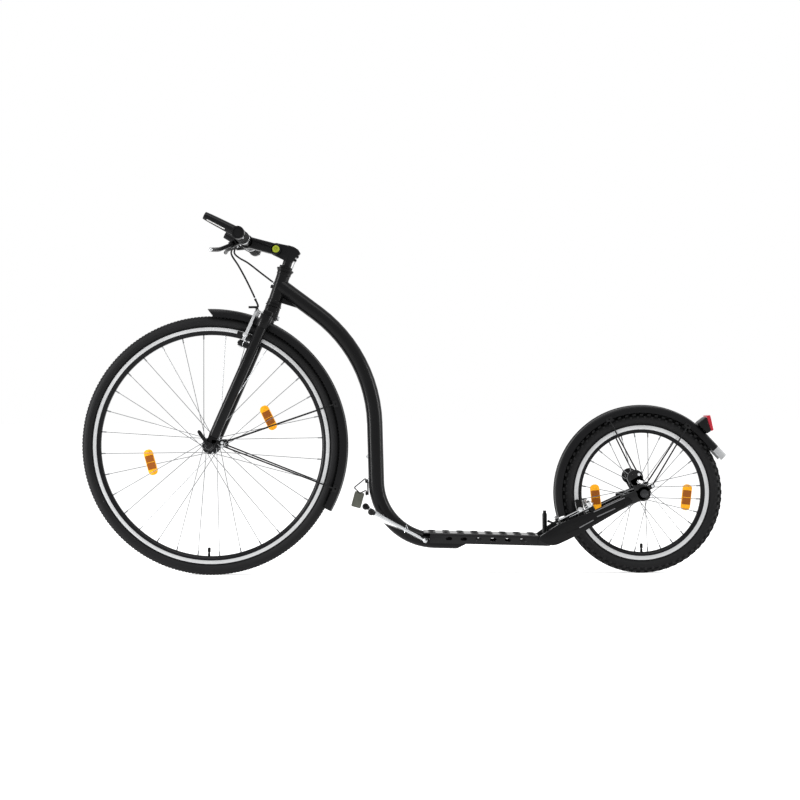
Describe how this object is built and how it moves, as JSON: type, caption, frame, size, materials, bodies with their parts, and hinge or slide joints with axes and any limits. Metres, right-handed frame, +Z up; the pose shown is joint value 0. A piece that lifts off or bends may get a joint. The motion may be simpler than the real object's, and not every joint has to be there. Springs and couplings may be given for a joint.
{
  "type": "kick bike",
  "caption": "Kick bike with a large front wheel, a small rear wheel, a low perforated deck between them, rim brakes, mudguards and a folding stand.",
  "frame": {"origin": "on the ground, below the middle of the whole", "axes": "-X to the front wheel, -Y to the rider's left, +Z up"},
  "size_m": [1.7186, 0.526, 0.943],
  "materials": {
    "frame_black": "gloss",
    "bright_steel": "bright",
    "silver_alloy": "satin",
    "rim_black": "satin",
    "tyre": "matt",
    "black_rubber": "matt",
    "black_plastic": "satin",
    "amber_lens": "gloss",
    "red_lens": "gloss",
    "lime_cap": "gloss",
    "keeper_grey": "satin"
  },
  "bodies": {
    "frame": {"main_tube": "frame_black", "head_tube": "frame_black", "headset_cup_lower": "bright_steel", "headset_cup_upper": "bright_steel", "deck_plate": "frame_black", "rear_arm_left": "frame_black", "rear_arm_right": "frame_black", "mudguard_bridge": "frame_black", "tail_post": "frame_black", "stand_sleeve": "frame_black", "keeper_clip": "black_plastic", "rear_axle": "bright_steel", "rear_mudguard": "black_plastic", "rear_guard_stay_front": "frame_black", "rear_guard_stay_rear": "frame_black", "tail_light_body": "black_plastic", "tail_light_lens": "red_lens"},
    "steering": {"fork_crown": "frame_black", "crown_bolt": "bright_steel", "fork_blade_left": "frame_black", "fork_blade_right": "frame_black", "front_axle": "bright_steel", "stem_base": "frame_black", "stem_arm": "frame_black", "stem_pivot_bolt": "lime_cap", "handlebar": "frame_black", "grip_left": "black_rubber", "grip_right": "black_rubber", "bar_end_left": "frame_black", "bar_end_right": "frame_black", "lever_bracket_left": "black_plastic", "lever_bracket_right": "black_plastic", "front_mudguard": "black_plastic", "front_guard_stay_upper": "frame_black", "front_guard_stay_lower": "frame_black", "front_brake_cable": "black_plastic", "rear_brake_cable": "black_plastic"},
    "front_wheel": {"front_hub_spokes": "bright_steel", "front_rim": "rim_black", "front_tyre": "tyre", "front_inner_tube": "black_rubber", "front_reflector_1": "amber_lens", "front_reflector_2": "amber_lens"},
    "rear_wheel": {"rear_hub_spokes": "bright_steel", "rear_rim": "rim_black", "rear_tyre": "tyre", "rear_inner_tube": "black_rubber", "rear_reflector_1": "amber_lens", "rear_reflector_2": "amber_lens"},
    "qr_lever": {"qr_lever": "black_plastic"},
    "front_brake_left": {"front_brake_arm_left": "silver_alloy"},
    "front_brake_right": {"front_brake_arm_right": "silver_alloy"},
    "rear_brake_left": {"rear_brake_arm_left": "silver_alloy"},
    "rear_brake_right": {"rear_brake_arm_right": "silver_alloy"},
    "brake_lever_left": {"brake_lever_left": "black_plastic"},
    "brake_lever_right": {"brake_lever_right": "black_plastic"},
    "kickstand": {"kickstand_legs": "bright_steel", "kickstand_foot_left": "black_rubber", "kickstand_foot_right": "black_rubber"},
    "keeper": {"keeper_plate": "keeper_grey"}
  },
  "joints": [
    {"name": "steering_turn", "type": "hinge", "parent": "frame", "child": "steering", "pos_m": [-0.47539, 0, 0.33331], "axis": [0.3173, 0, 0.9483], "range_deg": [-60, 60]},
    {"name": "front_wheel_spin", "type": "hinge", "parent": "steering", "child": "front_wheel", "pos_m": [-0.51332, 0, 0.346], "axis": [0, 1, 0], "continuous": true},
    {"name": "rear_wheel_spin", "type": "hinge", "parent": "frame", "child": "rear_wheel", "pos_m": [0.63368, 0, 0.215], "axis": [0, 1, 0], "continuous": true},
    {"name": "kickstand_fold", "type": "hinge", "parent": "frame", "child": "kickstand", "pos_m": [0.05568, 0, 0.092], "axis": [0, -1, 0], "range_deg": [0, 115]},
    {"name": "keeper_swing", "type": "hinge", "parent": "frame", "child": "keeper", "pos_m": [-0.0998, 0, 0.216], "axis": [-0.0227, 0, 0.9997], "range_deg": [-45, 45]},
    {"name": "qr_lever_swing", "type": "hinge", "parent": "steering", "child": "qr_lever", "pos_m": [-0.51332, -0.0736, 0.346], "axis": [0.8387, 0, 0.5446], "range_deg": [0, 170]},
    {"name": "brake_lever_left_pull", "type": "hinge", "parent": "steering", "child": "brake_lever_left", "pos_m": [-0.44468, -0.113, 0.87346], "axis": [-0.5, 0, 0.866], "range_deg": [0, 16], "stiffness_Nm_per_rad": 0.5},
    {"name": "brake_lever_right_pull", "type": "hinge", "parent": "steering", "child": "brake_lever_right", "pos_m": [-0.44897, 0.113, 0.88708], "axis": [0.0872, 0, -0.9962], "range_deg": [0, 16], "stiffness_Nm_per_rad": 0.5},
    {"name": "front_brake_left_close", "type": "hinge", "parent": "steering", "child": "front_brake_left", "pos_m": [-0.39822, -0.049, 0.60453], "axis": [-0.9135, 0, 0.4067], "range_deg": [0, 3.5]},
    {"name": "front_brake_right_close", "type": "hinge", "parent": "steering", "child": "front_brake_right", "pos_m": [-0.39822, 0.049, 0.60453], "axis": [0.9135, 0, -0.4067], "range_deg": [0, 3.5]},
    {"name": "rear_brake_left_close", "type": "hinge", "parent": "frame", "child": "rear_brake_left", "pos_m": [0.5085, -0.053, 0.15011], "axis": [0.4602, 0, -0.8878], "range_deg": [0, 3]},
    {"name": "rear_brake_right_close", "type": "hinge", "parent": "frame", "child": "rear_brake_right", "pos_m": [0.5085, 0.053, 0.15011], "axis": [-0.4602, 0, 0.8878], "range_deg": [0, 3]}
  ],
  "couplings": [
    {"joint": "front_brake_left_close", "follows": "brake_lever_left_pull", "ratio": 0.21875},
    {"joint": "front_brake_right_close", "follows": "brake_lever_left_pull", "ratio": 0.21875},
    {"joint": "rear_brake_left_close", "follows": "brake_lever_right_pull", "ratio": 0.1875},
    {"joint": "rear_brake_right_close", "follows": "brake_lever_right_pull", "ratio": 0.1875}
  ]
}
